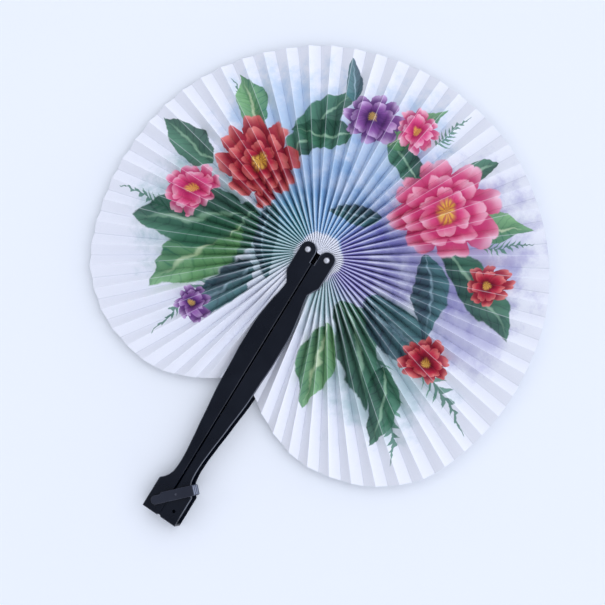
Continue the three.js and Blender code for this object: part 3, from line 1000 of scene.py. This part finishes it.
def softened(node, name, material):
    mesh = frame["nodes"][node].data.copy()
    shape = bmesh.new()
    shape.from_mesh(mesh)
    bmesh.ops.remove_doubles(shape, verts=shape.verts, dist=SAME_POINT * MM)
    flat = math.radians(SAME_PLANE)
    bmesh.ops.dissolve_limit(shape, angle_limit=flat, verts=shape.verts, edges=shape.edges)
    shape.to_mesh(mesh)
    shape.free()
    smooth(mesh, MOULDED_SHARP)
    maker = bpy.data.objects.new(name + "_maker", mesh)
    scene.collection.objects.link(maker)
    rounding = maker.modifiers.new("rounding", "WEIGHTED_NORMAL")
    rounding.weight = KEEP_FLAT
    rounding.keep_sharp = True
    piece = plain_piece(maker, name, material)
    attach(piece, frame["nodes"][node]["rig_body"])
    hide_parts(node)
    print(name, "faces:", len(piece.data.polygons))


for side in ("right", "left"):
    softened("handle_" + side, "half_" + side, black_plastic)
softened("latch_arm", "latch", charcoal_plastic)
softened("pivot_link", "link", black_plastic)

# %% [markdown]
# ## Rivets
# Each half turns on a small bright steel rivet: a dome on the printed side, a
# shank, and a flat tail in its recess below. A turned part is a profile swept
# about its axis, so Geometry Nodes wraps a grid round the axis, one row for each
# point of the profile, closes it with Merge by Distance and sets a copy at each
# pivot. Both ride on the same body, so they are one mesh.

# %% Steel finish
steel, s, steel_surface = new_finish("bright_steel")
steel_place = s.node("ShaderNodeTexCoord", out=3)
scratches = s.node("ShaderNodeTexNoise", inputs={"Vector": steel_place, "Scale": 900.0, "Detail": 3.0})
bloom = s.node("ShaderNodeTexNoise", inputs={"Vector": steel_place, "Scale": 300.0, "Detail": 2.0})
x, y, _ = steel_place.parts()
y = (y - RIVETS_MIDDLE.y) / MM
# Painted shade: each dome is painted darker towards its rim.
from_axis = distance_of(abs(x) / MM - PIVOT_X, y)
bright = s.mix(colour(234, 236, 242), colour(208, 210, 218), bloom)
feed(s.mix(bright, colour(92, 94, 102), from_axis.between(0.9, 1.8)), steel_surface, "Base Color")
feed(0.40 + scratches * 0.14, steel_surface, "Roughness")
steel_surface.inputs["Metallic"].default_value = 1.0
print("steel ready")

# %% Profile of a rivet
SEAT = 10.5
HEAD_RADIUS = 1.85
HEAD_RIM = 0.12
HEAD_HEIGHT = 0.95
SHANK_RADIUS = 1.2
TAIL_RADIUS = 2.0
TAIL_FOOT = 0.05
TAIL_TOP = 0.5
DOME_STEPS = 10
profile = [
    (0, TAIL_FOOT), (TAIL_RADIUS - 0.2, TAIL_FOOT), (TAIL_RADIUS - 0.05, TAIL_FOOT + 0.05),
    (TAIL_RADIUS, TAIL_FOOT + 0.15), (TAIL_RADIUS, TAIL_TOP - 0.02), (TAIL_RADIUS - 0.02, TAIL_TOP),
    (SHANK_RADIUS, TAIL_TOP), (SHANK_RADIUS, SEAT), (HEAD_RADIUS, SEAT),
]
for step in range(DOME_STEPS + 1):
    angle = math.radians(90 * step / DOME_STEPS)
    top = SEAT + HEAD_RIM + (HEAD_HEIGHT - HEAD_RIM) * math.sin(angle)
    profile.append((HEAD_RADIUS * math.cos(angle), top))
profile_mesh = bpy.data.meshes.new("rivet_profile")
profile_mesh.from_pydata([(radius * MM, 0, z * MM) for radius, z in profile], [], [])
rivet_profile = bpy.data.objects.new("rivet_profile", profile_mesh)
scene.collection.objects.link(rivet_profile)
print("rivet profile points:", len(profile))

# %% The turning tree
CLOSED_BY = 0.001
g, given = new_tree(
    "turning", Profile="Object", Points="Int", Segments="Int", Pivot_Distance="Float", Steel="Material")
grid = g.node("GeometryNodeMeshGrid", inputs={
    "Size X": 1.0, "Size Y": 1.0, "Vertices X": given["Segments"] + 1, "Vertices Y": given["Points"]})
grid_x, grid_y, _ = g.node("GeometryNodeInputPosition").parts()
row = (grid_y + 0.5) * (given["Points"] - 1)
radius, _, up = looked_up(g, given["Profile"], row.maths("ROUND", row)).parts()
angle = grid_x * math.tau
placed = g.node("ShaderNodeCombineXYZ", inputs={
    0: radius * angle.maths("COSINE", angle), 1: radius * angle.maths("SINE", angle), 2: up})
rivet = g.node("GeometryNodeSetPosition", inputs={"Geometry": grid, "Position": placed})
rivet = g.node("GeometryNodeMergeByDistance", inputs={"Geometry": rivet, "Distance": CLOSED_BY * MM})
half_way = given["Pivot Distance"] * 0.5
pivots = g.node("GeometryNodeMeshLine", {"mode": "END_POINTS"}, {
    "Count": 2, "Start Location": g.node("ShaderNodeCombineXYZ", inputs={0: half_way * -1}),
    "Offset": g.node("ShaderNodeCombineXYZ", inputs={0: half_way})})
pair = g.node("GeometryNodeInstanceOnPoints", inputs={"Points": pivots, "Instance": rivet})
turning = end_tree(pair, given["Steel"])

# %% Turn the rivets
RIVET_SEGMENTS = 32
STEEL_SHARP = 40
maker = shaped_by(
    turning, "rivets", Profile=rivet_profile, Points=len(profile), Segments=RIVET_SEGMENTS,
    Pivot_Distance=2 * PIVOT_X * MM, Steel=steel)
rivets = plain_piece(maker, "rivets", steel)
smooth(rivets.data, STEEL_SHARP)
bpy.data.objects.remove(rivet_profile)
rivets.data.transform(Matrix.Translation(RIVETS_MIDDLE))
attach(rivets, "hub")
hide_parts("rivet_right", "rivet_left")
print("rivet faces:", len(rivets.data.polygons))
